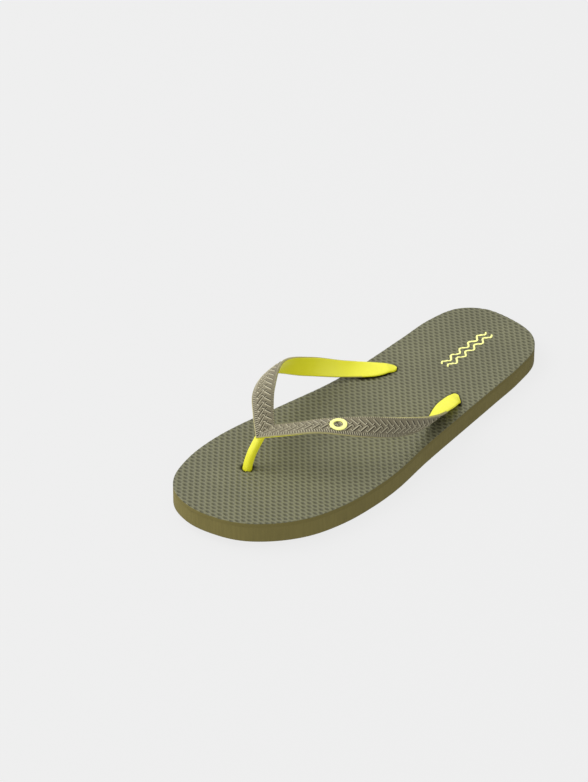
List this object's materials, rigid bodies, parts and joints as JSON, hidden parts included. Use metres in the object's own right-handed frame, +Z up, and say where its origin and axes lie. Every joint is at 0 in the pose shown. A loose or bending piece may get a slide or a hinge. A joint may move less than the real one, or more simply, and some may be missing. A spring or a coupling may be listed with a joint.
{
  "type": "flip flop",
  "caption": "Left-foot flip flop: laminated rubber sole with a dimpled footbed and a Y-shaped strap plugged through it, worn on the foot.",
  "frame": {"origin": "on the ground under the middle of the flip flop's bounding box", "axes": "+Z up, toe towards -Y and heel towards +Y, big-toe side towards -X"},
  "size_m": [0.1036, 0.285, 0.05],
  "materials": {
    "footbed_rubber": "matte foamed rubber with rows of small oval dimples",
    "sole_rubber": "matte die-cut foamed rubber",
    "yellow_pvc": "smooth soft PVC with a satin sheen",
    "olive_pvc": "satin soft PVC moulded with a herringbone braid",
    "pale_yellow_print": "smooth pale yellow"
  },
  "bodies": {
    "root": {"footbed": "footbed_rubber", "midsole": "sole_rubber", "outsole": "sole_rubber", "strap_base": "yellow_pvc", "strap_cover": "olive_pvc", "strap_badge": "pale_yellow_print", "heel_print_wave_inner": "pale_yellow_print", "heel_print_wave_outer": "pale_yellow_print"}
  },
  "joints": []
}
